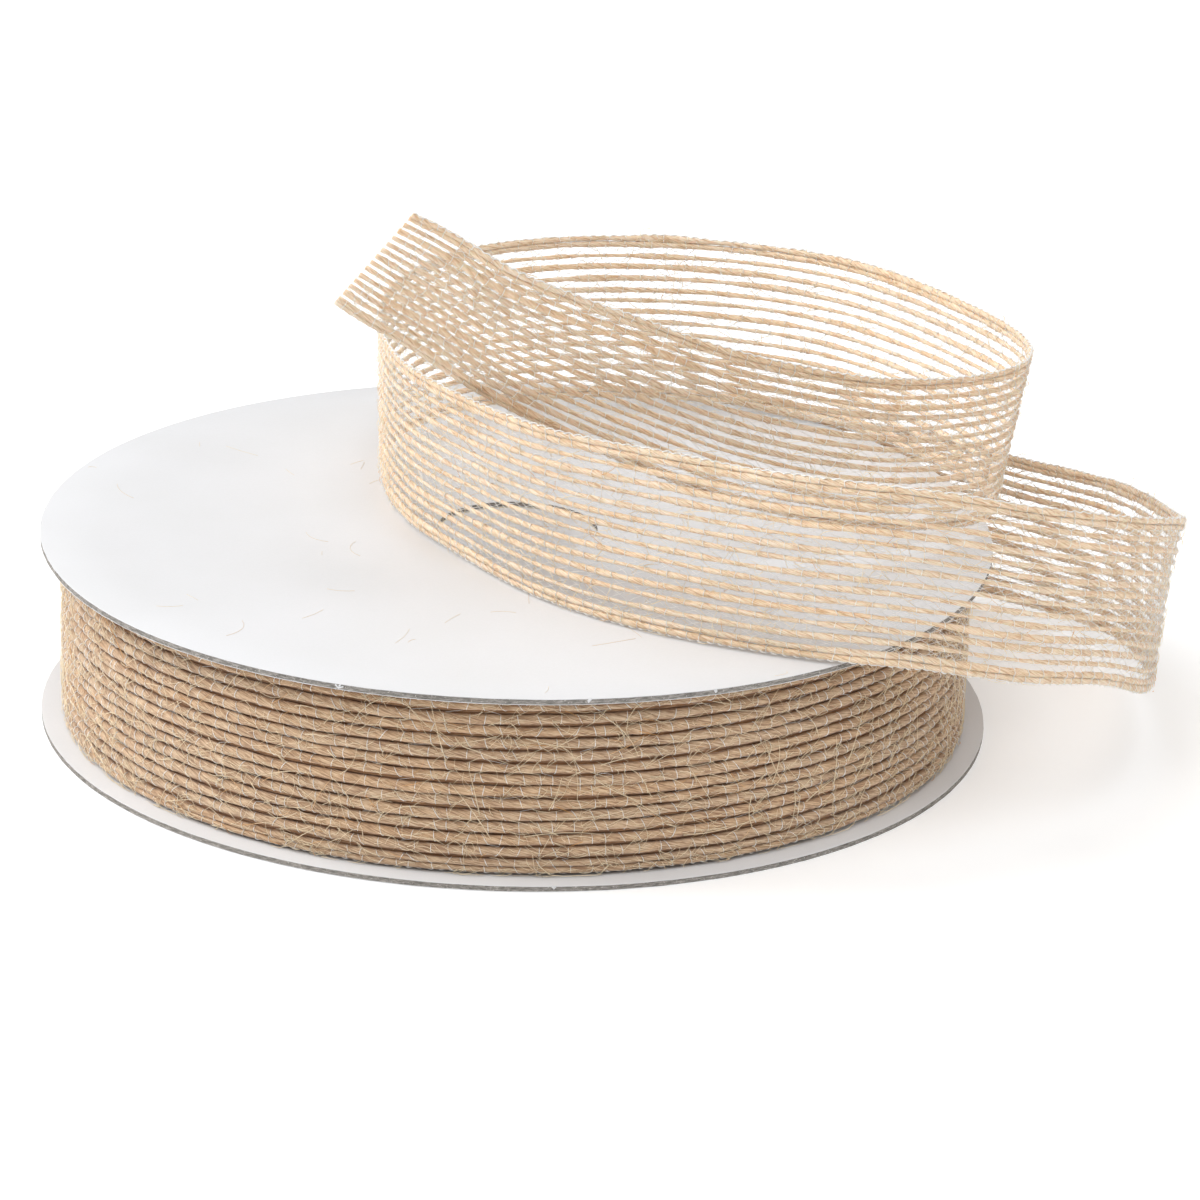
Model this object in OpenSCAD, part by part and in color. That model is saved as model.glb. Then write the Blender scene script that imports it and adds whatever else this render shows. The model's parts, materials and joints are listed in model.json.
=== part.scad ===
// Paperboard ribbon spool, wound with 25 mm jute mesh ribbon.
// The last stretch of ribbon is unwound and stands on its edge on the top flange.
// +Z is the spool's axis, and the origin is the bore's centre on the bottom face.

/* [Flanges] */
// Diameter of both flange discs
flange_d = 136; // [132:1:140]
// Thickness of the grey chipboard in each flange
board_t = 0.65; // [0.6:0.05:0.8]
// Thickness of one white liner sheet
liner_t = 0.1; // [0.05:0.01:0.1]

/* [Core] */
// Diameter of the hole through the spool
bore_d = 23; // [18:1:24]
// Wall of the wound paper tube, with both its plies
core_wall = 2; // [1.5:0.1:2.5]
// Thickness of the tube's white inner ply
inner_ply_t = 0.3; // [0.2:0.05:0.4]
// Thickness of the tube's outer wrap
outer_wrap_t = 0.2; // [0.1:0.05:0.3]
// Thickness of the glue under each end of the tube
glue_t = 0.1; // [0.05:0.01:0.15]

/* [Ribbon] */
// Width of the ribbon
ribbon_w = 25; // [24:0.5:25]
// Diameter of one jute yarn
yarn_d = 0.9; // [0.8:0.05:1]
// Single yarns between the two selvages
field_yarns = 12; // [12:1:12]
// Diameter of the wound roll
roll_d = 130; // [127:1:130]
// Play between the ribbon's edge and each flange
edge_play = 0.45; // [0.3:0.05:0.5]

/* [Start tape] */
// Width of the tape that holds the ribbon's inner end, along the axis
tape_w = 19; // [15:1:19]
// How far the tape goes round the core, in degrees
tape_arc = 80; // [50:5:120]

/* [Hidden] */

$fn = 180;
eps = 1;

// Heights, from the bottom face up
flange_t = board_t + 2 * liner_t;
winding_gap = ribbon_w + 2 * edge_play;
spool_h = 2 * flange_t + winding_gap;
mid_z = spool_h / 2;

// Radii, from the bore out
flange_r = flange_d / 2;
bore_r = bore_d / 2;
core_r = bore_r + core_wall;
tape_t = 0.06;
tape_gap = 0.1;
roll_r = roll_d / 2;
backing_r = roll_r - yarn_d;

// Yarn heights across the ribbon, from its centre-line: a touching pair at each edge,
// and single yarns with equal gaps between the pairs
selvage_w = 2 * yarn_d;
field_w = ribbon_w - 2 * selvage_w;
yarn_gap = (field_w - field_yarns * yarn_d) / (field_yarns + 1);
yarn_pitch = yarn_d + yarn_gap;
yarn_at = concat(
    [-ribbon_w / 2 + yarn_d / 2, -ribbon_w / 2 + 3 * yarn_d / 2],
    [for (i = [0:field_yarns - 1]) -field_w / 2 + yarn_gap + yarn_d / 2 + i * yarn_pitch],
    [ribbon_w / 2 - 3 * yarn_d / 2, ribbon_w / 2 - yarn_d / 2]);

// Route of the loose tail's centre-line: x, y, height, and how far the top edge leans
// out of the loop in degrees. It leaves the roll at the back, swings out to the right,
// comes back over the top flange, makes a smaller loop inside the first and ends above it.
laid_z = spool_h + 0.4 + ribbon_w / 2;
stations = [
    [-17, 64, mid_z, 0], [0, 66, mid_z, 0], [17, 64, mid_z, 0], [38, 60, mid_z, -1],
    [61, 53, 14, -4], [76.3, 39.7, 14.7, -9], [87.4, 24, 16.7, -6.8], [91.3, 3.8, 20.1, 0],
    [90.9, -19.4, 25.4, 6.6], [85.3, -37.4, 32, 11.6], [71, -50, 37, 5], [54, -54, laid_z, -1],
    [36, -49, laid_z, -5], [19, -41, laid_z, -6], [4, -31, laid_z, 1], [-7, -17, laid_z, 5],
    [-16, -1, laid_z, 5], [-20, 17, laid_z, 2], [-19, 34, 41, 0], [-10, 50, 41, 3],
    [7, 59, 41, 7], [28, 59, 41, 9], [48, 50, 41, 9], [63, 33, laid_z, 8],
    [71, 15, laid_z, 9], [67, 0, 41.5, 12], [51, -13.5, 44.5, 17], [32, -20, 49.5, 20],
    [14, -21, 56, 23], [-1.5, -21, 62.5, 29], [-12, -20.5, 68.5, 33], [-20.5, -21, 73.5, 37]];
steps = 4;
seam = 0.05;
last_station = len(stations) - 1;

// Station i, with one made-up station before the first and one after the last
function station(i) =
    i < 0 ? 2 * stations[0] - stations[1] :
    i > last_station ? 2 * stations[last_station] - stations[last_station - 1] :
    stations[i];

// Smooth curve through four neighbouring stations, from b at t = 0 to c at t = 1
function blend(a, b, c, d, t) =
    (2 * b + (c - a) * t + (2 * a - 5 * b + 4 * c - d) * t * t
     + (3 * b - a - 3 * c + d) * t * t * t) / 2;

route = concat(
    [for (i = [0:last_station - 1], k = [0:steps - 1])
        blend(station(i - 1), station(i), station(i + 1), station(i + 2), k / steps)],
    [stations[last_station]]);

function xyz(p) = [p[0], p[1], p[2]];
function unit(v) = v / norm(v);
function heading(i) =
    unit(xyz(route[min(i + 1, len(route) - 1)]) - xyz(route[max(i - 1, 0)]));
function outward(i) = let (h = heading(i)) unit([-h[1], h[0], 0]);

// Direction across the ribbon at ring i, from its lower edge to its upper edge
function across(i) =
    let (out = outward(i), up = cross(heading(i), out), lean = route[i][3])
    cos(lean) * up + sin(lean) * out;

// Four corners of the ribbon's section at ring i, between two places across its width
function section(i, low, high) =
    let (c = xyz(route[i]), w = across(i), n = cross(w, heading(i)) * yarn_d / 2)
    [c + low * w - n, c + low * w + n, c + high * w + n, c + high * w - n];

module ribbon_strip(low, high) {
    rings = len(route);
    points = [for (i = [0:rings - 1]) each section(i, low, high)];
    sides = [for (i = [0:rings - 2], k = [0:3])
        let (a = 4 * i + k, b = 4 * i + (k + 1) % 4)
        each [[a, b, b + 4], [a, b + 4, a + 4]]];
    end = 4 * (rings - 1);
    polyhedron(points, concat([[3, 2, 1, 0]], sides, [[end, end + 1, end + 2, end + 3]]), 10);
}

module ring(inner_r, outer_r, z, h) {
    translate([0, 0, z]) difference() {
        cylinder(r = outer_r, h = h);
        translate([0, 0, -eps]) cylinder(r = inner_r, h = h + 2 * eps);
    }
}

// Each flange is a grey board between two white liners; z is its lower face
module lower_liner(z) { color("white") ring(bore_r, flange_r, z, liner_t); }
module board(z) { color("silver") ring(bore_r, flange_r, z + liner_t, board_t); }
module upper_liner(z) { color("white") ring(bore_r, flange_r, z + liner_t + board_t, liner_t); }

// Glue between a flange and the end of the tube; z is its lower face
module glue_ring(z) { color("beige") ring(bore_r, core_r, z, glue_t); }

// One ply of the tube, which stands between the two glue rings
module core_ply(inner_r, outer_r) {
    ring(inner_r, outer_r, flange_t + glue_t, winding_gap - 2 * glue_t);
}
module core_inner_ply() { color("white") core_ply(bore_r, bore_r + inner_ply_t); }
module core_tube() { color("tan") core_ply(bore_r + inner_ply_t, core_r - outer_wrap_t); }
module core_outer_wrap() { color("white") core_ply(core_r - outer_wrap_t, core_r); }

// Short tape round the core, which holds the ribbon's inner end
module start_tape() {
    color("lightyellow") translate([0, 0, mid_z - tape_w / 2])
        rotate_extrude(angle = tape_arc) translate([core_r, 0]) square([tape_t, tape_w]);
}

// Every turn of the ribbon under the outermost one, as one packed ring
module wound_layers() {
    color("peru") ring(core_r + tape_gap, backing_r, mid_z - ribbon_w / 2, ribbon_w);
}

// One jute yarn of the outermost turn
module roll_yarn(i) {
    color("burlywood") translate([0, 0, mid_z + yarn_at[i]])
        rotate_extrude() translate([roll_r - yarn_d / 2, 0]) circle(d = yarn_d, $fn = 24);
}

// The loose tail: a pair of yarns at each edge and the open mesh between them, which
// stops short of both pairs by a fine seam
module tail_lower_selvage() {
    color("tan") ribbon_strip(-ribbon_w / 2, -field_w / 2);
}
module tail_field() {
    color("burlywood") ribbon_strip(-field_w / 2 + seam, field_w / 2 - seam);
}
module tail_upper_selvage() {
    color("tan") ribbon_strip(field_w / 2, ribbon_w / 2);
}

top_z = spool_h - flange_t;

lower_liner(0);  // bottom_liner_outer
board(0);  // bottom_board
upper_liner(0);  // bottom_liner_inner
lower_liner(top_z);  // top_liner_inner
board(top_z);  // top_board
upper_liner(top_z);  // top_liner_outer
glue_ring(flange_t);  // bottom_glue_ring
glue_ring(top_z - glue_t);  // top_glue_ring
core_inner_ply();
core_tube();
core_outer_wrap();
start_tape();
wound_layers();
roll_yarn(0);  // roll_yarn_01
roll_yarn(1);  // roll_yarn_02
roll_yarn(2);  // roll_yarn_03
roll_yarn(3);  // roll_yarn_04
roll_yarn(4);  // roll_yarn_05
roll_yarn(5);  // roll_yarn_06
roll_yarn(6);  // roll_yarn_07
roll_yarn(7);  // roll_yarn_08
roll_yarn(8);  // roll_yarn_09
roll_yarn(9);  // roll_yarn_10
roll_yarn(10);  // roll_yarn_11
roll_yarn(11);  // roll_yarn_12
roll_yarn(12);  // roll_yarn_13
roll_yarn(13);  // roll_yarn_14
roll_yarn(14);  // roll_yarn_15
roll_yarn(15);  // roll_yarn_16
tail_lower_selvage();
tail_field();
tail_upper_selvage();
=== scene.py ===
# %% [markdown]
# # A paperboard spool of jute mesh ribbon
# This lesson gives a plain CAD spool its looks. The spool is two board flanges on a paper
# tube, wound with open jute ribbon. The last 0.6 m of ribbon is unwound and stands on its
# edge on the top flange, in two loops. The CAD model says where everything is and how it
# moves, so it is loaded first, and each new piece takes its place and size from it.

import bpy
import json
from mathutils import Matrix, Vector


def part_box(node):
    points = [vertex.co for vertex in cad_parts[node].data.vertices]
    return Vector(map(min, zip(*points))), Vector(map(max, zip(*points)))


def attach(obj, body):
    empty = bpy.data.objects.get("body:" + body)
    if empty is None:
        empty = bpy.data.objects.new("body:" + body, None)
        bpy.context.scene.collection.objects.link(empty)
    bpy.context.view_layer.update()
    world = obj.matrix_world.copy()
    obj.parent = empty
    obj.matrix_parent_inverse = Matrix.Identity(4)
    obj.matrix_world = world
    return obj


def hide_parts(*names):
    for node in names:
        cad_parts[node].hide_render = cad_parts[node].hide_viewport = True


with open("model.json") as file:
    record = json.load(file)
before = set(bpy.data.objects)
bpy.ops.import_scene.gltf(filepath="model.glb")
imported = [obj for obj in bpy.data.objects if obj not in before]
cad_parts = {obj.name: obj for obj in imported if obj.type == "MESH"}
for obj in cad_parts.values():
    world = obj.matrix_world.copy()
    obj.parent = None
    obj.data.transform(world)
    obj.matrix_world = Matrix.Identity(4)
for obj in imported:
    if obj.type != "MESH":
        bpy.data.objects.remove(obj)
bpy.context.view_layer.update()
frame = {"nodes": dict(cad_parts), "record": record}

# %% Bring in Blender and the number tools
import json
import math

import bpy
import numpy as np
from mathutils import Vector

MM = 0.001
SPOOL = "spool"
TAIL = "ribbon_tail"

# %% [markdown]
# ## The camera
# It comes first, because it decides how much of the detail is seen. A long lens from three
# quarters of a metre flattens the flanges into narrow ovals, as product pictures do. The
# camera looks down by about twenty degrees and is tilted by one degree, like a hand-set one.

# %% Set the camera
camera_data = bpy.data.cameras.new("studio_camera")
camera_data.lens = 167.07
camera_data.sensor_width = 36
camera_data.clip_start = 0.05
camera_data.clip_end = 20
camera = bpy.data.objects.new("studio_camera", camera_data)
camera.location = (0, -0.752522, 0.291986)
camera.rotation_euler = [math.radians(a) for a in (69.91267, -1.50297, -0.37278)]
bpy.context.scene.collection.objects.link(camera)
bpy.context.scene.camera = camera
print("camera looks down by", round(90 - math.degrees(camera.rotation_euler.x), 1), "degrees")

# %% [markdown]
# ## The studio
# White card under and around the object, and large soft lights. The strongest stands on the
# left and brightens that end of the roll. The widest is overhead: the tail stands on its
# edge, so light from above passes down between its loops and the flange stays white inside
# them. One behind the camera fills the front, and a weak one the right. Together they put
# just over one unit of light on the floor, so the card is pure white and the white paper
# stays just under it. The plain view transform keeps those whites clean.

# %% Build the studio
scene = bpy.context.scene
scene.view_settings.view_transform = "Standard"
scene.world = bpy.data.worlds.new("white_tent")
scene.world.use_nodes = True
tent = scene.world.node_tree.nodes["Background"]
tent.inputs["Color"].default_value = (0.98, 0.99, 1.0, 1)
tent.inputs["Strength"].default_value = 0.40


def softbox(name, place, aim, size, power):
    """A square area light at a place, turned towards a point."""
    light = bpy.data.lights.new(name, "AREA")
    light.size = size
    light.energy = power
    lamp = bpy.data.objects.new(name, light)
    lamp.location = place
    lamp.rotation_euler = (Vector(aim) - Vector(place)).to_track_quat("-Z", "Y").to_euler()
    scene.collection.objects.link(lamp)


softbox("left_softbox", (-1.30, 0.30, 0.85), (0, 0, 0.02), 1.0, 20.0)
softbox("right_softbox", (1.35, -0.10, 0.80), (0, 0, 0.02), 0.8, 4.5)
softbox("top_softbox", (0.0, -0.15, 2.40), (0, 0, 0), 1.9, 14.0)
softbox("front_softbox", (-0.20, -1.15, 1.40), (0, 0, 0.02), 0.9, 9.0)

# %% [markdown]
# ## Shader maths as arithmetic
# A material is a graph of nodes. Adding nodes one by one hides the idea, so one small class
# wraps an output socket and lets Python's own signs add the Math nodes. Any other node is
# made by one method, which takes its type, its settings and the values of its sockets.


# %% Wrap a socket
class Socket:
    """One output of a node. Arithmetic on it adds Math nodes to its material."""

    def __init__(self, finish, output):
        self.finish = finish
        self.output = output

    def math(self, operation, first, second):
        return self.finish.node("Math", {"operation": operation}, {0: first, 1: second})

    def __add__(self, other):
        return self.math("ADD", self, other)

    def __sub__(self, other):
        return self.math("SUBTRACT", self, other)

    def __rsub__(self, other):
        return self.math("SUBTRACT", other, self)

    def __mul__(self, other):
        return self.math("MULTIPLY", self, other)

    __radd__ = __add__
    __rmul__ = __mul__


# %% Build a finish
class Finish:
    """A material on a Principled shader, built node by node."""

    def __init__(self, name, **constants):
        self.material = bpy.data.materials.new(name)
        self.material.use_nodes = True
        self.tree = self.material.node_tree
        self.shader = self.tree.nodes["Principled BSDF"]
        for socket, value in constants.items():
            self.shader.inputs[socket.replace("_", " ")].default_value = value

    def node(self, kind, settings=None, inputs=None, output=0):
        made = self.tree.nodes.new("ShaderNode" + kind)
        for key, value in (settings or {}).items():
            if key == "stops":
                self.set_stops(made.color_ramp, value)
            else:
                setattr(made, key, value)
        for key, value in (inputs or {}).items():
            self.feed(made.inputs[key], value)
        return Socket(self, made.outputs[output])

    def feed(self, socket, value):
        if isinstance(value, Socket):
            self.tree.links.new(value.output, socket)
        else:
            socket.default_value = value

    def set_stops(self, ramp, stops):
        while len(ramp.elements) < len(stops):
            ramp.elements.new(1.0)
        for element, (place, colour) in zip(ramp.elements, stops):
            element.position = place
            element.color = (*colour, 1)

    def ramp(self, value, *stops):
        return self.node("ValToRGB", {"stops": stops}, {"Fac": value})

    def noise(self, where, scale, detail=3.0, rough=0.55):
        return self.node("TexNoise", inputs={"Vector": where, "Scale": scale,
                                             "Detail": detail, "Roughness": rough})

    def range(self, value, low, high, new_low=0.0, new_high=1.0):
        return self.node("MapRange", inputs={0: value, 1: low, 2: high, 3: new_low, 4: new_high})

    def blend(self, factor, first, second, how="MIX"):
        settings = {"data_type": "RGBA", "blend_type": how}
        return self.node("Mix", settings, {0: factor, 6: first, 7: second}, output=2)

    def stretch(self, where, scale):
        return self.node("Mapping", inputs={"Vector": where, "Scale": scale})

    def place(self):
        return self.node("TexCoord", output=3)

    def attribute(self, name, output):
        return self.node("Attribute", {"attribute_name": name}, output=output)

    def colour(self, value):
        self.feed(self.shader.inputs["Base Color"], value)

    def roughness(self, value):
        self.feed(self.shader.inputs["Roughness"], value)

    def bump(self, height, depth):
        normal = self.node("Bump", inputs={"Height": height, "Distance": depth})
        self.feed(self.shader.inputs["Normal"], normal)


def grey(level):
    return (level, level, level)


print("shader maths ready")

# %% [markdown]
# ## Paper and board
# The liner is coated white paper: nearly even, with a fine tooth, faint clouds and a slight
# satin. The board is pressed from grey pulp, so its cut edge is mottled and hairy and runs
# in thin layers. Both read Object coordinates in metres, so a grain of 0.4 mm is a scale of
# 2500. The hidden tube, glue and tape get plain finishes of the same kind. The tube's white
# inner ply, seen down the hole, is painted much paler than the liner: painted light, for
# the light that reaches down the hole.


# %% White liner
def make_liner(name, pale):
    liner = Finish(name, Specular_IOR_Level=0.35)
    where = liner.place()
    clouds = liner.noise(where, 45, detail=4)
    tooth = liner.noise(where, 2600, detail=2)
    tone = liner.range(clouds, 0.3, 0.7, 0.0, 0.6) + liner.range(tooth, 0.3, 0.7, 0.0, 0.4)
    liner.colour(liner.ramp(tone, (0.0, (pale, pale, pale + 0.005)),
                            (1.0, (pale + 0.035, pale + 0.035, pale + 0.05))))
    liner.roughness(liner.range(clouds, 0.3, 0.7, 0.42, 0.52))
    liner.bump(tooth, 0.012 * MM)
    return liner.material


# %% Grey board
def make_board():
    board = Finish("grey_chipboard", Specular_IOR_Level=0.2, Roughness=0.9)
    where = board.place()
    layers = board.noise(board.stretch(where, (1, 1, 7)), 900, detail=4, rough=0.7)
    flecks = board.noise(where, 3200, detail=2)
    dark = board.range(layers, 0.35, 0.65)
    base = board.ramp(dark, (0.0, (0.13, 0.12, 0.108)), (0.5, (0.25, 0.235, 0.215)),
                      (1.0, (0.42, 0.39, 0.36)))
    board.colour(board.blend(board.range(flecks, 0.62, 0.72), base, (0.55, 0.52, 0.48, 1)))
    board.bump(layers * 0.7 + flecks * 0.3, 0.025 * MM)
    return board.material


# %% Tube, glue and tape
def make_kraft():
    kraft = Finish("kraft_paper", Specular_IOR_Level=0.2, Roughness=0.85)
    fibres = kraft.noise(kraft.stretch(kraft.place(), (1, 1, 6)), 700, detail=4)
    kraft.colour(kraft.ramp(fibres, (0.3, (0.30, 0.20, 0.12)), (0.7, (0.44, 0.31, 0.19))))
    kraft.bump(fibres, 0.03 * MM)
    return kraft.material


def make_glue():
    glue = Finish("dried_glue", Specular_IOR_Level=0.5)
    lumps = glue.noise(glue.place(), 800, detail=2)
    glue.colour(glue.ramp(lumps, (0.3, (0.62, 0.55, 0.40)), (0.7, (0.74, 0.68, 0.54))))
    glue.roughness(glue.range(lumps, 0.3, 0.7, 0.3, 0.5))
    glue.bump(lumps, 0.05 * MM)
    return glue.material


def make_tape():
    tape = Finish("clear_tape", Specular_IOR_Level=0.5)
    wrinkles = tape.noise(tape.stretch(tape.place(), (4, 4, 1)), 300, detail=2)
    tape.colour(tape.ramp(wrinkles, (0.3, (0.70, 0.66, 0.52)), (0.7, (0.78, 0.74, 0.62))))
    tape.roughness(tape.range(wrinkles, 0.3, 0.7, 0.2, 0.35))
    tape.bump(wrinkles, 0.02 * MM)
    return tape.material


# %% Make the paper finishes
white_liner = make_liner("white_liner_paper", 0.71)
# Painted light: the tube's inner ply is painted paler than the liner, so the hole reads bright.
white_ply_painted_light = make_liner("white_tube_ply_painted_light", 0.92)
grey_board = make_board()
kraft_paper = make_kraft()
dried_glue = make_glue()
clear_tape = make_tape()
print("paper finishes", [m.name for m in (white_liner, grey_board, kraft_paper)])

# %% [markdown]
# ## Jute, thread and stray fibres
# Jute yarn is a loose twist of long dry fibres, so its colour changes in thin streaks that
# wind round it. A texture in Object coordinates would cut across the yarn. Each point of a
# yarn therefore carries its own position in an untwisted yarn, in millimetres, as the
# attribute `fibre`, and noise that is squeezed along that yarn makes the streaks. The
# attribute `tone` shifts a stretch from cool straw at 0 to warm straw at 1, and on to the
# brown of the wound roll at 2, which is painted shade of the roll on the tail's first
# stretch. The loose yarn is painted paler than the wound yarn, as painted light for the
# light through its open mesh, and it glows a little, because light passes through its thin
# edges. The stitches are fine off-white polyester, and the stray fibres are single jute hairs.


# %% Jute yarn
def make_jute(name, pale, mid, deep, glow):
    jute = Finish(name, Specular_IOR_Level=0.25, Sheen_Weight=0.25, Sheen_Roughness=0.6,
                  Subsurface_Weight=glow, Subsurface_Scale=0.6 * MM)
    fibre = jute.attribute("fibre", "Vector")
    tone = jute.attribute("tone", "Fac")
    streaks = jute.noise(jute.stretch(fibre, (0.08, 1, 1)), 5.5, detail=2, rough=0.6)
    hairs = jute.noise(jute.stretch(fibre, (0.08, 1, 1)), 13, detail=1)
    slubs = jute.noise(jute.stretch(fibre, (0.35, 0.3, 0.3)), 1.0, detail=2)
    mixed = streaks * 0.60 + hairs * 0.28 + slubs * 0.12
    body = jute.ramp(mixed, (0.39, deep), (0.49, mid), (0.60, pale))
    warm = jute.blend(1.0, body, (1.0, 0.94, 0.86, 1), "MULTIPLY")
    cool = jute.blend(1.0, body, (0.96, 0.97, 0.98, 1), "MULTIPLY")
    # Painted shade: at tone 2 the yarn is darkened to the roll's brown, the shade the roll casts
    # on the tail's first stretch.
    brown = jute.blend(1.0, body, (0.72, 0.64, 0.58, 1), "MULTIPLY")
    jute.colour(jute.blend(jute.range(tone, 1, 2), jute.blend(tone, cool, warm), brown))
    jute.roughness(jute.range(streaks, 0.3, 0.7, 0.62, 0.85))
    jute.bump(streaks * 0.6 + hairs * 0.4, 0.10 * MM)
    return jute.material


# %% Stitching thread and stray fibres
def make_thread():
    thread = Finish("stitching_thread", Specular_IOR_Level=0.5, Sheen_Weight=0.2)
    ply = thread.noise(thread.stretch(thread.attribute("fibre", "Vector"), (2, 1, 1)), 4)
    thread.colour(thread.ramp(ply, (0.3, (0.86, 0.84, 0.80)), (0.7, (0.96, 0.95, 0.93))))
    thread.roughness(thread.range(ply, 0.3, 0.7, 0.35, 0.55))
    thread.bump(ply, 0.02 * MM)
    return thread.material


def make_hair():
    hair = Finish("stray_jute_fibre", Specular_IOR_Level=0.2, Roughness=0.7)
    grain = hair.noise(hair.attribute("fibre", "Vector"), 2)
    base = hair.ramp(grain, (0.3, (0.82, 0.66, 0.44)), (0.7, (0.96, 0.86, 0.66)))
    tone = hair.attribute("tone", "Fac")
    hair.colour(hair.blend(tone, base, (0.72, 0.38, 0.14, 1)))
    hair.bump(grain, 0.01 * MM)
    return hair.material


# %% Make the ribbon's finishes
# The loose tail's jute is painted paler than the same jute on the roll: painted light, for the
# light through the open mesh.
tail_jute_painted_light = make_jute("jute_yarn_loose_painted_light", (0.94, 0.81, 0.65), (0.85, 0.66, 0.465),
                      (0.61, 0.40, 0.24), 0.12)
roll_jute = make_jute("jute_yarn_wound", (0.74, 0.57, 0.395), (0.55, 0.37, 0.23),
                      (0.31, 0.18, 0.105), 0.0)
# Painted shade: the turns under the outer one are the roll's jute painted a deeper brown, for
# the shade in the seams.
shade_jute = make_jute("jute_yarn_under_painted_shade", (0.60, 0.36, 0.20), (0.45, 0.26, 0.14),
                       (0.28, 0.15, 0.08), 0.0)
thread_finish = make_thread()
hair_finish = make_hair()
print("ribbon finishes", [m.name for m in (tail_jute_painted_light, roll_jute, shade_jute, thread_finish)])

# %% [markdown]
# ## Flanges
# Each flange is die-cut from grey board with a white liner glued on both faces. A disc with
# a hole could be spun from a profile. Here it starts as a cylinder, as on a lathe: the caps
# are taken off, both rims are drawn inwards ring by ring to the hole, and the two inner
# rims are joined. The rings give the flange enough points for the slight warp that damp
# board has. The board's cut edge is cut into rows and roughened, and the liners' edges are
# rounded by the die.

# %% Helpers for edit mode
rng = np.random.default_rng(25)


def begin_edit(obj):
    """Only this object active, in edit mode, with nothing selected."""
    bpy.ops.object.select_all(action="DESELECT")
    bpy.context.view_layer.objects.active = obj
    obj.select_set(True)
    bpy.ops.object.mode_set(mode="EDIT")
    bpy.ops.mesh.select_all(action="DESELECT")


def choose(obj, kind, test):
    """Selects the faces or edges whose points all pass a test, and nothing else."""
    bpy.ops.mesh.select_all(action="DESELECT")
    bpy.ops.object.mode_set(mode="OBJECT")
    points = obj.data.vertices
    for item in getattr(obj.data, kind):
        item.select = all(test(points[v].co) for v in item.vertices)
    bpy.ops.object.mode_set(mode="EDIT")


def settle(obj, finish, body):
    """Leaves edit mode, gives the finish and puts the piece's place into its mesh."""
    if obj.mode == "EDIT":
        bpy.ops.object.mode_set(mode="OBJECT")
    bpy.ops.object.select_all(action="DESELECT")
    bpy.context.view_layer.objects.active = obj
    obj.select_set(True)
    bpy.ops.object.transform_apply(location=True, rotation=True, scale=True)
    obj.data.materials.clear()
    obj.data.materials.append(finish)
    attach(obj, body)
    return obj


# %% Turn a disc with a hole
AROUND = 480
RINGS = 7


def radius_of(point):
    return math.hypot(point.x, point.y)


def turn_disc(name, low, high, hole_r, rows):
    """A ring from the hole to the rim between two heights, made from a cylinder."""
    rim_r = high.x
    thick = high.z - low.z
    middle = (low.z + high.z) / 2
    bpy.ops.object.select_all(action="DESELECT")
    bpy.ops.mesh.primitive_cylinder_add(vertices=AROUND, radius=rim_r, depth=thick,
                                        end_fill_type="NOTHING", location=(0, 0, middle))
    disc = bpy.context.object
    disc.name = name
    begin_edit(disc)
    bpy.context.tool_settings.mesh_select_mode = (False, True, False)
    if rows > 1:
        bpy.ops.object.mode_set(mode="OBJECT")
        for edge in disc.data.edges:
            a, b = (disc.data.vertices[v].co for v in edge.vertices)
            edge.select = abs(a.z - b.z) > thick / 2
        bpy.ops.object.mode_set(mode="EDIT")
        bpy.ops.mesh.subdivide(number_cuts=rows - 1)
    for side in (-1, 1):
        choose(disc, "edges", lambda p: side * p.z > thick / 2 - 1e-6)
        inner = rim_r
        for ring in range(1, RINGS + 1):
            wanted = rim_r + (hole_r - rim_r) * ring / RINGS
            scale = wanted / inner
            bpy.ops.mesh.extrude_edges_move()
            bpy.ops.transform.resize(value=(scale, scale, 1), center_override=(0, 0, middle))
            inner = wanted
    choose(disc, "edges", lambda p: radius_of(p) < hole_r * 1.01)
    bpy.ops.mesh.bridge_edge_loops()
    bpy.ops.mesh.select_all(action="SELECT")
    bpy.ops.mesh.normals_make_consistent(inside=False)
    bpy.ops.object.mode_set(mode="OBJECT")
    return disc


def warp_of(x, y, amount):
    """How far a damp board lifts or dips at a place, more towards its rim."""
    turn = np.arctan2(y, x)
    out = np.hypot(x, y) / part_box("top_board")[1].x
    return amount * out ** 3 * (np.sin(2 * turn + 0.6) + 0.4 * np.sin(3 * turn))


def points_of(obj):
    points = np.empty(len(obj.data.vertices) * 3)
    obj.data.vertices.foreach_get("co", points)
    return points.reshape(-1, 3)


def put_points(obj, points):
    obj.data.vertices.foreach_set("co", points.ravel())
    obj.data.update()


# %% Smooth random wander
def wander(length, wave, at, closed=False):
    """A smooth random curve from -1 to 1 along a length, with hills about a wave long."""
    count = max(4, round(2 * length / wave))
    hills = rng.uniform(-1, 1, count + 1)
    if closed:
        hills[-1] = hills[0]
    step = np.clip(np.asarray(at) / length, 0, 1) * count
    left = np.minimum(step.astype(int), count - 1)
    part = step - left
    part = part * part * (3 - 2 * part)
    return hills[left] * (1 - part) + hills[left + 1] * part


# %% Make the six sheets of both flanges
HOLE_R = frame["record"]["mounts"][0]["dims"]["r_mm"] * MM
WARP = 0.10 * MM
RIM_DEEP = 0.3 * MM
BOARD_ROWS = 4


def roughen_rim(obj, rim_r, coarse, fine):
    """Pushes the points of the cut edge in and out, as a torn and pressed edge is."""
    points = points_of(obj)
    flat = np.hypot(points[:, 0], points[:, 1])
    rim = flat > rim_r - RIM_DEEP
    turn = (np.arctan2(points[rim, 1], points[rim, 0]) + math.pi) * rim_r
    round_rim = 2 * math.pi * rim_r
    push = coarse * wander(round_rim, 4 * MM, turn, closed=True)
    push += fine * rng.uniform(-1, 1, rim.sum())
    points[rim, :2] *= (1 + push / flat[rim])[:, None]
    put_points(obj, points)


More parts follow.
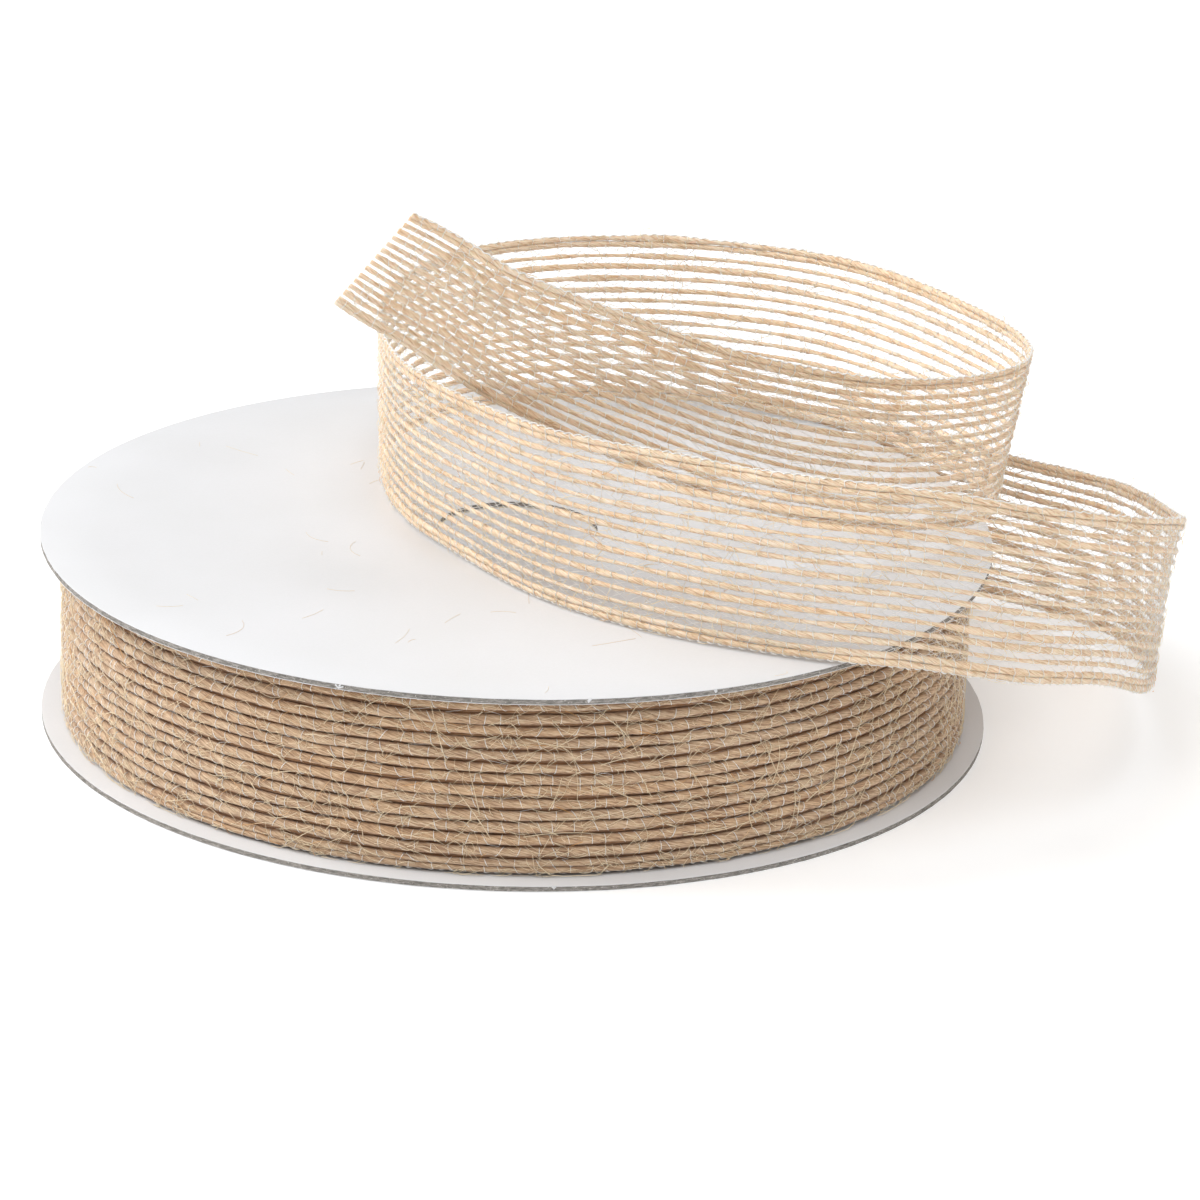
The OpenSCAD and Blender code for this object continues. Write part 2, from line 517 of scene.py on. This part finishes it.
def make_sheet(name, node, finish, rows, bevel, coarse, fine):
    low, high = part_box(node)
    disc = turn_disc(name, low, high, HOLE_R, rows)
    if bevel:
        rounding = disc.modifiers.new("die_rounding", "BEVEL")
        rounding.width = bevel
        rounding.segments = 2
        rounding.limit_method = "ANGLE"
        bpy.ops.object.modifier_apply(modifier=rounding.name)
    settle(disc, finish, SPOOL)
    roughen_rim(disc, high.x, coarse, fine)
    points = points_of(disc)
    points[:, 2] += warp_of(points[:, 0], points[:, 1], WARP)
    put_points(disc, points)
    bpy.ops.object.shade_smooth_by_angle(angle=math.radians(35))
    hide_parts(node)


for side in ("bottom", "top"):
    for face in ("outer", "inner"):
        make_sheet(f"{side}_flange_{face}_paper", f"{side}_liner_{face}", white_liner,
                   1, 0.03 * MM, 0.03 * MM, 0.0)
    make_sheet(f"{side}_flange_board", f"{side}_board", grey_board,
               BOARD_ROWS, 0.0, 0.03 * MM, 0.01 * MM)

# %% [markdown]
# ## The tube
# The plies of the tube, its glue and the tape keep their CAD shapes, which are right. Only
# the white inner ply is seen, down the hole, and its finish is painted paler than the liner,
# as painted light down the hole. They just take their finishes.

# %% Finish the hidden CAD pieces
for node, finish in (("core_inner_ply", white_ply_painted_light), ("core_outer_wrap", white_liner),
                     ("core_tube", kraft_paper), ("bottom_glue_ring", dried_glue),
                     ("top_glue_ring", dried_glue), ("start_tape", clear_tape)):
    materials = frame["nodes"][node].data.materials
    materials.clear()
    materials.append(finish)
print("CAD pieces kept", [n for n, o in frame["nodes"].items() if not o.hide_render])

# %% [markdown]
# ## Bands and strands
# The ribbon is the same cloth on the roll and in the loose tail: sixteen yarns, side by
# side, tied by stitches. So both are described by a *band*, a curve in space that knows
# which way is across the ribbon and which way is out of it. A *strand* is a round thread
# with a few sides. A curve object with a bevel could draw each, but thousands of curves are
# slow and carry no fibre direction. The strands are swept in arrays and put into one mesh.


# %% A band in space
class Band:
    """The ribbon's middle line with its directions, and its place at any distance along."""

    def __init__(self, centre, across, normal, closed):
        self.centre = centre
        self.across = across
        self.normal = normal
        self.closed = closed
        following = np.roll(centre, -1, 0) if closed else centre[1:]
        steps = np.linalg.norm(following - centre[: len(following)], axis=1)
        self.at = np.concatenate([[0], np.cumsum(steps)])
        self.length = self.at[-1]

    def look(self, table, along):
        if self.closed:
            along = np.mod(along, self.length)
            table = np.vstack([table, table[:1]])
        return np.stack([np.interp(along, self.at, table[:, k]) for k in range(3)], axis=-1)

    def out(self, along):
        return self.look(self.normal, along)

    def point(self, along, high, lift):
        """The place at a distance along, a height across and a lift out of the ribbon."""
        high = np.asarray(high)[..., None]
        lift = np.asarray(lift)[..., None]
        return (self.look(self.centre, along) + high * self.look(self.across, along)
                + lift * self.out(along))


# %% Strands swept into one mesh
GRAIN_SHIFT = 37 * MM  # moves the grain along from one strand to the next


class Strands:
    """Round threads gathered into one mesh, each with its fibre direction and tone."""

    def __init__(self):
        self.points = []
        self.fibres = []
        self.tones = []
        self.loops = []
        self.sizes = []
        self.count = 0
        self.made = 0

    def add(self, lines, out, wide, thick, sides, tone=0.5, twist=0.0, lobes=0.0, closed=False):
        """Sweeps threads along lines, an array of (thread, point, xyz). The points of each
        ring turn with the twist, so that the faces run along the fibres."""
        lines = np.asarray(lines) if np.ndim(lines) == 3 else np.asarray(lines)[None]
        many, rings, _ = lines.shape
        out = np.broadcast_to(out, lines.shape)
        if closed:  # a closed strand's twist comes round to a whole number of turns
            ahead = np.roll(lines, -1, 1) - np.roll(lines, 1, 1)
        else:
            ahead = np.gradient(lines, axis=1)
        ahead /= np.maximum(np.linalg.norm(ahead, axis=2, keepdims=True), 1e-12)
        side = np.cross(ahead, out)
        side /= np.maximum(np.linalg.norm(side, axis=2, keepdims=True), 1e-12)
        up = np.cross(side, ahead)
        wide, thick, tone, twist = (np.broadcast_to(v, (many, rings)).astype(float)
                                    for v in (wide, thick, tone, twist))
        lay = np.arange(sides) * 2 * math.pi / sides
        turn = lay + twist[..., None]
        ply = 1 + lobes * np.cos(2 * lay)
        c = np.cos(turn) * ply * thick[..., None]
        s = np.sin(turn) * ply * wide[..., None]
        ring_points = (lines[:, :, None] + c[..., None] * up[:, :, None]
                       + s[..., None] * side[:, :, None])
        run = np.linalg.norm(np.diff(lines, axis=1, prepend=lines[:, :1]), axis=2).cumsum(1)
        run = run + (np.arange(many) + self.made)[:, None] * GRAIN_SHIFT
        size = np.sqrt(wide * thick)[..., None]
        fibre = np.stack([np.broadcast_to(run[..., None], turn.shape),
                          np.cos(lay) * size, np.sin(lay) * size], axis=-1) / MM
        self.points.append(ring_points.reshape(-1, 3))
        self.fibres.append(fibre.reshape(-1, 3))
        self.tones.append(np.broadcast_to(tone[..., None], turn.shape).reshape(-1))
        self.join(many, rings, sides, closed)
        self.made += many

    def join(self, many, rings, sides, closed):
        """Faces between the rings, and a cap on each open end."""
        index = self.count + np.arange(many * rings * sides).reshape(many, rings, sides)
        here = index if closed else index[:, :-1]
        there = np.roll(index, -1, 1) if closed else index[:, 1:]
        quads = np.stack([here, np.roll(here, -1, 2), np.roll(there, -1, 2), there], axis=-1)
        self.loops.append(quads.reshape(-1))
        self.sizes.append(np.full(quads.size // 4, 4))
        if not closed:
            caps = np.concatenate([index[:, 0, ::-1], index[:, -1]])
            self.loops.append(caps.reshape(-1))
            self.sizes.append(np.full(len(caps), sides))
        self.count += many * rings * sides

    def build(self, name, finish, body):
        """One mesh object of all the strands, riding on a body."""
        mesh = bpy.data.meshes.new(name)
        loops = np.concatenate(self.loops)
        sizes = np.concatenate(self.sizes)
        mesh.vertices.add(self.count)
        mesh.vertices.foreach_set("co", np.concatenate(self.points).ravel())
        mesh.loops.add(len(loops))
        mesh.loops.foreach_set("vertex_index", loops)
        mesh.polygons.add(len(sizes))
        mesh.polygons.foreach_set("loop_start", np.concatenate([[0], sizes.cumsum()[:-1]]))
        mesh.update(calc_edges=True)
        fibre = mesh.attributes.new("fibre", "FLOAT_VECTOR", "POINT")
        fibre.data.foreach_set("vector", np.concatenate(self.fibres).ravel())
        tone = mesh.attributes.new("tone", "FLOAT", "POINT")
        tone.data.foreach_set("value", np.concatenate(self.tones))
        mesh.polygons.foreach_set("use_smooth", np.ones(len(sizes), bool))
        mesh.materials.append(finish)
        obj = bpy.data.objects.new(name, mesh)
        scene.collection.objects.link(obj)
        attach(obj, body)
        print(name, "has", int((sizes - 2).sum()), "triangles in", self.made, "strands")
        return obj


# %% [markdown]
# ## The cloth's plan
# The CAD says where the sixteen yarns lie across the ribbon: a touching pair at each edge
# and twelve single yarns between. On the roll each yarn is pressed flat by the winding
# tension, so it almost fills its row and hides the turns under it. In the loose tail it is
# round again and the mesh is open. A real yarn swells, thins and strays, so each row is
# given its own smooth wander. The tail's first stretch lies against the roll and is painted
# with the roll's brown, as painted shade of the roll, which then fades to straw.

# %% Read the rows from the frame
YARN_NODES = sorted(n for n in frame["nodes"] if n.startswith("roll_yarn_"))
yarn_boxes = [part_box(n) for n in YARN_NODES]
MIDDLE_Z = sum(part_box("wound_layers")[k].z for k in (0, 1)) / 2
ROW_HEIGHTS = [(low.z + high.z) / 2 - MIDDLE_Z for low, high in yarn_boxes]
YARN_D = yarn_boxes[0][1].z - yarn_boxes[0][0].z
ROLL_R = max(high.x for low, high in yarn_boxes)
RIBBON_W = ROW_HEIGHTS[-1] - ROW_HEIGHTS[0] + YARN_D
PAIRS = (0, 1, len(ROW_HEIGHTS) - 2, len(ROW_HEIGHTS) - 1)
print("rows", len(ROW_HEIGHTS), "ribbon width", round(RIBBON_W / MM, 2), "mm")


# %% One wandering row
PAIR_WIDE = 1.08 * YARN_D / 2
# How far along the tail the painted shade of the roll stays full, and where it has faded out.
ROLL_SHADE_FULL_UNTIL = 25 * MM
ROLL_SHADE_GONE_BY = 75 * MM


class Row:
    """Height, width and depth of one yarn along a band, as curves that can be looked up."""

    def __init__(self, band, number, wide, thick, stray, swell, spread=0.0):
        grid = np.arange(0, band.length, 0.8 * MM)
        paired = number in PAIRS
        low, high = (0.3, 0.6) if paired else (1.0, 1.0)
        share = 1 + spread * rng.uniform(-1, 1)
        self.grid = grid
        self.band = band
        self.number = number
        stray_now = stray * low * (wander(band.length, 38 * MM, grid, band.closed)
                                   + 0.5 * wander(band.length, 12 * MM, grid, band.closed))
        swell_now = (swell * high * wander(band.length, 17 * MM, grid, band.closed)
                     + 0.5 * swell * wander(band.length, 5 * MM, grid, band.closed))
        self.high = ROW_HEIGHTS[number] + stray_now
        self.wide = (PAIR_WIDE if paired else wide * share) * (1 + swell_now)
        self.thick = thick * share * (1 + 0.5 * swell_now)
        self.tone = 0.5 + 0.5 * wander(band.length, 60 * MM, grid, band.closed)
        if not band.closed:
            # Painted shade of the roll: tone rises to 2 on the tail's first stretch.
            roll_shade_share = np.clip((ROLL_SHADE_GONE_BY - grid) / (ROLL_SHADE_GONE_BY - ROLL_SHADE_FULL_UNTIL), 0, 1)
            self.tone += (2 - self.tone) * roll_shade_share

    def look(self, values, along):
        if self.band.closed:
            along = np.mod(along, self.band.length)
        return np.interp(along, self.grid, values)


# %% [markdown]
# ## The outer turn
# The yarns of the outermost turn are closed rings, one for each CAD ring. Behind them lie
# the turns underneath. They show only as dark seams between the rows, so they are one
# solid: a ribbed outline spun about the axis, in a deeper brown than the same jute on the
# roll, which is painted shade in the seams.

# %% Lay the band of the outer turn
PRESSED_WIDE = 0.67 * MM
PRESSED_THICK = 0.66 * MM
ROLL_TWIST = 14 * MM
YARN_STEP = 0.7 * MM


def round_band(radius):
    """A band that goes once round the roll, starting at the back."""
    turn = np.linspace(0, 2 * math.pi, 720, endpoint=False)
    normal = np.stack([np.sin(turn), np.cos(turn), np.zeros(len(turn))], axis=1)
    centre = normal * radius + [0, 0, MIDDLE_Z]
    across = np.broadcast_to([0.0, 0.0, 1.0], centre.shape)
    return Band(centre, across, normal, closed=True)


roll_band = round_band(ROLL_R - PRESSED_THICK)
roll_rows = [Row(roll_band, number, PRESSED_WIDE, PRESSED_THICK, 0.16 * MM, 0.13)
             for number in range(len(ROW_HEIGHTS))]
print("one turn is", round(roll_band.length / MM), "mm")


# %% Sweep the yarns of the outer turn
def sweep_yarn(strands, row, step, sides, lobes, pitch):
    band = row.band
    count = round(band.length / step)
    along = np.linspace(0, band.length, count + (not band.closed), endpoint=not band.closed)
    lift = 0.06 * MM * wander(band.length, 9 * MM, along, band.closed)
    line = band.point(along, row.look(row.high, along), lift)
    twist = along / band.length * 2 * math.pi * round(band.length / pitch)
    twist = twist + 0.8 * wander(band.length, 25 * MM, along, band.closed)
    strands.add(line, band.out(along), row.look(row.wide, along), row.look(row.thick, along),
                sides, row.look(row.tone, along), twist, lobes, band.closed)


for row, node in zip(roll_rows, YARN_NODES):
    yarn = Strands()
    yarn.made = row.number
    sweep_yarn(yarn, row, YARN_STEP, 9, 0.07, ROLL_TWIST)
    ring = yarn.build(node.replace("roll_yarn", "outer_turn_yarn"), roll_jute, SPOOL)
    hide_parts(node)

# %% Spin the turns under it
RIB_DEPTH = 0.35 * MM
RIB_PITCH = 0.86 * MM
SPIN_STEPS = 240


def spin_under_turns():
    low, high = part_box("wound_layers")
    core_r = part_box("core_outer_wrap")[1].x + 0.1 * MM
    ribs = round((high.z - low.z) / RIB_PITCH)
    bpy.ops.object.select_all(action="DESELECT")
    bpy.ops.mesh.primitive_plane_add(size=1, location=(0, 0, 0))
    obj = bpy.context.object
    obj.name = "under_turns"
    profile = [(core_r, low.z)]
    for k in range(ribs * 4 + 1):
        depth = RIB_DEPTH * (0.5 - 0.5 * math.cos(math.pi * k / 2)) * (k % 4 != 0)
        profile.append((high.x - RIB_DEPTH + depth, low.z + (high.z - low.z) * k / (ribs * 4)))
    profile.append((core_r, high.z))
    begin_edit(obj)
    bpy.ops.mesh.select_all(action="SELECT")
    bpy.ops.mesh.delete(type="VERT")
    bpy.ops.object.mode_set(mode="OBJECT")
    obj.data.from_pydata([(r, 0, z) for r, z in profile],
                         [(k, (k + 1) % len(profile)) for k in range(len(profile))], [])
    begin_edit(obj)
    bpy.ops.mesh.select_all(action="SELECT")
    bpy.ops.mesh.spin(steps=SPIN_STEPS, angle=2 * math.pi, center=(0, 0, 0), axis=(0, 0, 1))
    bpy.ops.mesh.select_all(action="SELECT")
    bpy.ops.mesh.remove_doubles(threshold=1e-6)
    bpy.ops.mesh.normals_make_consistent(inside=False)
    return settle(obj, shade_jute, SPOOL)


under_turns = spin_under_turns()
under_points = points_of(under_turns)
fibre = under_turns.data.attributes.new("fibre", "FLOAT_VECTOR", "POINT")
turn_mm = np.arctan2(under_points[:, 1], under_points[:, 0]) * ROLL_R / MM
out_mm = np.hypot(under_points[:, 0], under_points[:, 1]) / MM
fibre.data.foreach_set("vector", np.stack([turn_mm, out_mm, under_points[:, 2] / MM], 1).ravel())
tone = under_turns.data.attributes.new("tone", "FLOAT", "POINT")
tone.data.foreach_set("value", np.full(len(under_points), 0.6))
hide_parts("wound_layers")
print("under turns", len(under_turns.data.polygons), "faces")

# %% [markdown]
# ## The loose tail's route
# The tail leaves the roll at the back, swings out past the rim on the right, comes back over
# the top flange and curls into a second, higher loop. Its middle line is a smooth curve
# through the same places as the CAD's strips: x, y and height in metres, and how
# many degrees its upper edge leans out. A cloth simulation was thought of, but stiff jute
# mesh keeps the set of its coil, and a simulated strip would not stand as this one does.

# %% The listed places
LAID_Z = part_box("top_liner_outer")[1].z + 0.4 * MM + RIBBON_W / 2
ROUTE = np.array([
    (-0.017, 0.064, MIDDLE_Z, 0), (0, 0.066, MIDDLE_Z, 0), (0.017, 0.064, MIDDLE_Z, 0),
    (0.038, 0.060, MIDDLE_Z, -1), (0.061, 0.053, 0.014, -4), (0.0763, 0.0397, 0.0147, -9),
    (0.0874, 0.024, 0.0167, -6.8), (0.0913, 0.0038, 0.0201, 0),
    (0.0909, -0.0194, 0.0254, 6.6), (0.0853, -0.0374, 0.032, 11.6),
    (0.071, -0.050, 0.037, 5), (0.054, -0.054, LAID_Z, -1),
    (0.036, -0.049, LAID_Z, -5), (0.019, -0.041, LAID_Z, -6), (0.004, -0.031, LAID_Z, 1),
    (-0.007, -0.017, LAID_Z, 5), (-0.016, -0.001, LAID_Z, 5), (-0.020, 0.017, LAID_Z, 2),
    (-0.019, 0.034, 0.041, 0), (-0.010, 0.050, 0.041, 3), (0.007, 0.059, 0.041, 7),
    (0.028, 0.059, 0.041, 9), (0.048, 0.050, 0.041, 9), (0.063, 0.033, LAID_Z, 8),
    (0.071, 0.015, LAID_Z, 9), (0.067, 0, 0.0415, 12), (0.051, -0.0135, 0.0445, 17),
    (0.032, -0.020, 0.0495, 20), (0.014, -0.021, 0.056, 23), (-0.0015, -0.021, 0.0625, 29),
    (-0.012, -0.0205, 0.0685, 33), (-0.0205, -0.021, 0.0735, 37)])


# %% Run a smooth curve through them
def unit(vectors):
    return vectors / np.linalg.norm(vectors, axis=-1, keepdims=True)


def smooth_route(places, steps):
    """The curve that passes through every place, with its lean."""
    padded = np.vstack([2 * places[0] - places[1], places, 2 * places[-1] - places[-2]])
    a, b, c, d = (padded[k:len(places) - 1 + k, None] for k in range(4))
    t = (np.arange(steps) / steps)[None, :, None]
    bent = (2 * b + (c - a) * t + (2 * a - 5 * b + 4 * c - d) * t ** 2
            + (3 * b - a - 3 * c + d) * t ** 3) / 2
    return np.vstack([bent.reshape(-1, 4), places[-1:]])


def even_steps(route, step):
    """The same curve with points an equal distance apart."""
    run = np.linalg.norm(np.diff(route[:, :3], axis=0), axis=1)
    at = np.concatenate([[0], np.cumsum(run)])
    even = np.linspace(0, at[-1], round(at[-1] / step) + 1)
    return np.stack([np.interp(even, at, route[:, k]) for k in range(4)], axis=1)


def tail_band():
    route = even_steps(smooth_route(ROUTE, 24), 1.0 * MM)
    centre = route[:, :3]
    heading = unit(np.gradient(centre, axis=0))
    outward = unit(np.stack([-heading[:, 1], heading[:, 0], 0 * heading[:, 0]], axis=1))
    up = np.cross(heading, outward)
    lean = np.radians(route[:, 3:])
    across = np.cos(lean) * up + np.sin(lean) * outward
    return Band(centre, across, unit(np.cross(across, heading)), closed=False)


loose_band = tail_band()
print("the loose tail is", round(loose_band.length / MM), "mm long")

# %% [markdown]
# ## The tail's yarns
# The sixteen yarns of the tail are one sheet of open cloth, so they are one piece. Each
# yarn is two lobes twisted round each other, with seven sides and a ring at every 0.7 mm,
# which is enough for the slubs to show against white. Some yarns are thin and some thick.

# %% Sweep the tail's yarns
LOOSE_WIDE = 0.385 * MM
LOOSE_TWIST = 9 * MM
tail_rows = [Row(loose_band, number, LOOSE_WIDE, LOOSE_WIDE * 0.95, 0.13 * MM, 0.34, 0.15)
             for number in range(len(ROW_HEIGHTS))]
tail_yarns = Strands()
for row in tail_rows:
    sweep_yarn(tail_yarns, row, YARN_STEP, 7, 0.06, LOOSE_TWIST)
tail_cloth = tail_yarns.build("loose_tail_yarns", tail_jute_painted_light, TAIL)
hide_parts("tail_lower_selvage", "tail_field", "tail_upper_selvage")

# %% [markdown]
# ## Stitches
# A fine thread makes a bar across every yarn at each stitch, and it jumps
# the gap to the next yarn between stitches. A bar that wraps its yarn is modelled as a short
# open coil, and the jumps as crossed threads. The bars of neighbouring yarns are nearly in
# line, because one needle bar makes them all.

# %% Places of the stitches
STITCH = 2.35 * MM
THREAD_R = 0.07 * MM
EDGE_WAVE = 1.5 * MM


def stitch_places(band):
    """Distance along of each stitch on each row; a row's line drifts from the last one's."""
    count = round(band.length / STITCH)
    at = (np.arange(count) + 0.5) * band.length / count
    places = []
    drift = np.zeros(count)
    for _ in ROW_HEIGHTS:
        drift = 0.8 * drift + rng.uniform(-0.45, 0.45, count) * MM
        places.append(at + drift + rng.normal(0, 0.12 * MM, count))
    return places


def bars(strands, rows, places, coil, points, reach, thread_r):
    """A bar round each yarn at each stitch; coil is how far round it goes, in turns."""
    for row, at in zip(rows, places):
        slant = rng.normal(0.20, 0.32, len(at)) * MM
        turn = np.linspace(-coil * math.pi, coil * math.pi, points)
        part = turn / (coil * math.pi)
        along = at[:, None] + slant[:, None] * part
        wide = row.look(row.wide, along) + thread_r * reach
        thick = row.look(row.thick, along) + thread_r * reach
        high = row.look(row.high, along) + wide * np.sin(turn)
        line = row.band.point(along, high, thick * np.cos(turn))
        out = row.band.out(along)
        facing = line - row.band.point(along, row.look(row.high, along), 0 * along)
        strands.add(line, unit(facing) + 0.01 * out, thread_r, thread_r, 3,
                    rng.uniform(0, 1, (len(at), 1)))


def jumps(strands, rows, places, sag, thread_r, share):
    """Two crossed threads in a share of the gaps, from a stitch to the next row's next one."""
    for below, above, first, second in zip(rows, rows[1:], places, places[1:]):
        for low_at, high_at in ((first[:-1], second[1:]), (first[1:], second[:-1])):
            keep = rng.uniform(0, 1, len(low_at)) < share
            low_at, high_at = low_at[keep], high_at[keep]
            low = below.look(below.high, low_at) + below.look(below.wide, low_at)
            high = above.look(above.high, high_at) - above.look(above.wide, high_at)
            bow = rng.normal(0, 0.12 * MM, len(low_at))
            along = np.stack([low_at, (low_at + high_at) / 2 + bow, high_at], axis=1)
            height = np.stack([low, (low + high) / 2, high], axis=1)
            lift = np.stack([0 * low, sag + 0 * low, 0 * low], axis=1)
            line = below.band.point(along, height, lift)
            strands.add(line, below.band.out(along), thread_r, thread_r, 3,
                        rng.uniform(0, 1, (len(low_at), 1)))


def edge_loops(strands, band, rows, side, thread_r):
    """The scalloped thread along one edge of the ribbon."""
    row = rows[-1] if side > 0 else rows[0]
    along = np.arange(0, band.length, 0.3 * MM)
    wave = 2 * math.pi * round(band.length / EDGE_WAVE) / band.length
    size = 1 + 0.5 * wander(band.length, 4 * MM, along, band.closed)
    edge = row.look(row.high, along) + side * (row.look(row.wide, along)
                                               + 0.09 * MM * size * np.cos(wave * along))
    line = band.point(along, edge, 0.18 * MM * size * np.sin(wave * along))
    strands.add(line, band.out(along), thread_r, thread_r, 4, 0.5, closed=band.closed)


# %% Stitch the tail
tail_stitches = stitch_places(loose_band)
tail_bars = Strands()
bars(tail_bars, tail_rows, tail_stitches, 0.95, 7, 0.5, THREAD_R)
tail_bar_piece = tail_bars.build("loose_tail_stitches", thread_finish, TAIL)
tail_jumps = Strands()
jumps(tail_jumps, tail_rows, tail_stitches, 0.0, 0.042 * MM, 0.85)
for edge in (-1, 1):
    edge_loops(tail_jumps, loose_band, tail_rows, edge, 0.10 * MM)
tail_jump_piece = tail_jumps.build("loose_tail_cross_threads", thread_finish, TAIL)

# %% Stitch the outer turn
roll_stitches = stitch_places(roll_band)
roll_bars = Strands()
bars(roll_bars, roll_rows, roll_stitches, 0.5, 6, 0.3, THREAD_R)
jumps(roll_bars, roll_rows, roll_stitches, 0.0, 0.045 * MM, 0.08)
for edge in (1, -1):
    edge_loops(roll_bars, roll_band, roll_rows, edge, 0.08 * MM)
roll_bars.build("outer_turn_stitches", thread_finish, SPOOL)

# %% [markdown]
# ## Stray fibres
# Jute sheds. Short pale hairs lie along the yarns at every slant and a few longer ones curl
# across the rows. Blender's hair system would need a particle object that cannot be
# exported, so each hair is a three-sided strand along a curved path on the band. Hairs on
# the roll stay close to it, because the tail sweeps over them as it unwinds, and those on
# the tail's first 110 mm only grow outwards, for the same reason.


# %% Grow hairs on a band
NEAR_ROLL = 110 * MM


def hairs(strands, rows, count, long, slant, lift, hair_r, bend=1.0, above=0.2 * MM):
    """Curved hairs rooted on the yarns; long and lift are (least, most) pairs, and above is
    how far they may stand over the upper edge."""
    band = rows[0].band
    steps = 5
    number = rng.integers(0, len(rows), count)
    start = rng.uniform(0, band.length, count)
    length = rng.uniform(*long, count) * rng.uniform(0.5, 1, count)
    angle = rng.normal(0, slant, count) + math.pi * rng.integers(0, 2, count)
    curl = rng.normal(0, bend, count)
    part = np.linspace(0, 1, steps)
    way = angle[:, None] + curl[:, None] * part
    run = length[:, None] / (steps - 1)
    along = start[:, None] + np.cumsum(np.cos(way) * run, axis=1)
    high = np.cumsum(np.sin(way) * run, axis=1)
    root = np.stack([row.look(row.high, start) for row in rows])[number, np.arange(count)]
    high = np.clip(root[:, None] + high, -RIBBON_W / 2 - 0.2 * MM, RIBBON_W / 2 + above)
    if not band.closed:
        along = np.clip(along, 0, band.length)
    face = rng.choice((-1, 1), count) if not band.closed else np.ones(count)
    rise = rng.uniform(*lift, count)[:, None] * np.sin(math.pi * (0.15 + 0.7 * part))
    base = rows[len(rows) // 2].thick.mean()
    if not band.closed:
        near = start < NEAR_ROLL
        face[near], rise[near] = 1, np.abs(rise[near])
    line = band.point(along, high, face[:, None] * (base + rise))
    fine = hair_r * rng.uniform(0.6, 1.2, (count, 1)) * (1.1 - 0.6 * part)
    tone = (rng.uniform(0, 1, (count, 1)) > 0.93) * rng.uniform(0.3, 1, (count, 1))
    strands.add(line, band.out(along), fine, fine, 3, tone)


# %% Hairs of the outer turn
roll_hair = Strands()
hairs(roll_hair, roll_rows, 6500, (1 * MM, 4.5 * MM), 0.42, (0.04 * MM, 0.2 * MM), 0.050 * MM,
      0.8)
hairs(roll_hair, roll_rows, 480, (5 * MM, 13 * MM), 0.9, (0.1 * MM, 0.4 * MM), 0.066 * MM, 0.7)
roll_hair.build("outer_turn_fibres", hair_finish, SPOOL)

# %% Hairs of the tail
tail_hair = Strands()
hairs(tail_hair, tail_rows, 7000, (1 * MM, 4.5 * MM), 0.5, (-0.3 * MM, 0.4 * MM), 0.050 * MM,
      0.8, 0.5 * MM)
tail_hair_piece = tail_hair.build("loose_tail_fibres", hair_finish, TAIL)
tail_curls = Strands()
hairs(tail_curls, tail_rows, 620, (4 * MM, 12 * MM), 0.9, (0, 0.8 * MM), 0.048 * MM, 1.6,
      1.2 * MM)
tail_curl_piece = tail_curls.build("loose_tail_long_fibres", hair_finish, TAIL)

# %% [markdown]
# ## Dust and nicks
# A few shed fibres lie on the top flange, and the die has torn small white flakes of liner
# at four places round the rims. Both are very thin strands that stay on the flanges.

# %% Fibres on the flange
SHED_FIBRES = 46
TOP_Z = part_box("top_liner_outer")[1].z
RIM_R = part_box("top_liner_outer")[1].x
dust = Strands()
for _ in range(SHED_FIBRES):
    far, turn = rng.uniform(0.35, 0.97) * RIM_R, rng.uniform(0, 2 * math.pi)
    facing = rng.uniform(0, 2 * math.pi) + rng.normal(0, 1.0) * np.linspace(0, 1, 7)
    run = rng.uniform(1.5 * MM, 7 * MM) / 6
    x = far * math.cos(turn) + np.cumsum(np.cos(facing)) * run
    y = far * math.sin(turn) + np.cumsum(np.sin(facing)) * run
    inside = np.minimum(1, 0.985 * RIM_R / np.hypot(x, y))
    x, y = x * inside, y * inside
    rise = TOP_Z + warp_of(x, y, WARP) + 0.03 * MM
    dust.add(np.stack([x, y, rise], axis=1), (0, 0, 1), 0.024 * MM, 0.02 * MM, 3,
             rng.uniform(0, 0.5))
dust.build("fibres_on_the_flange", hair_finish, SPOOL)

# %% Torn flakes on the rims
flakes = Strands()
for degrees, node in ((-20, "top_board"), (8.4, "top_board"), (23.3, "top_board"),
                      (5, "bottom_board")):
    low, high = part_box(node)
    for _ in range(3):
        turn = math.radians(degrees - 90 + rng.normal(0, 0.12))
        z = high.z - rng.uniform(0, 0.4) * MM + np.linspace(-1, 1, 4) * 0.25 * MM
        r = RIM_R + np.array([-0.2, 0.05, 0.12, 0.05]) * rng.uniform(0.5, 1.2) * MM
        sway = turn + rng.normal(0, 0.25 * MM) / RIM_R * np.linspace(-1, 1, 4)
        line = np.stack([r * np.cos(sway), r * np.sin(sway), z], axis=1)
        line[:, 2] = np.maximum(line[:, 2], 0.1 * MM)
        flakes.add(line, (math.cos(turn), math.sin(turn), 0), 0.12 * MM, 0.04 * MM, 4)
flakes.build("torn_liner_flakes", white_liner, SPOOL)

# %% [markdown]
# ## The floor
# The floor is a plain white sheet just under the spool, lit a little from below.

# %% Floor
bpy.ops.object.select_all(action="DESELECT")
bpy.ops.mesh.primitive_plane_add(size=6, location=(0, 0, -0.05 * MM))
floor = bpy.context.object
floor.name = "studio_floor"
card = Finish("white_card", Specular_IOR_Level=0.1, Roughness=0.9, Emission_Strength=0.22,
              Emission_Color=(1, 1, 1, 1))
card_grain = card.noise(card.place(), 60)
card.colour(card.ramp(card_grain, (0.3, grey(0.875)), (0.7, grey(0.885))))
floor.data.materials.append(card.material)
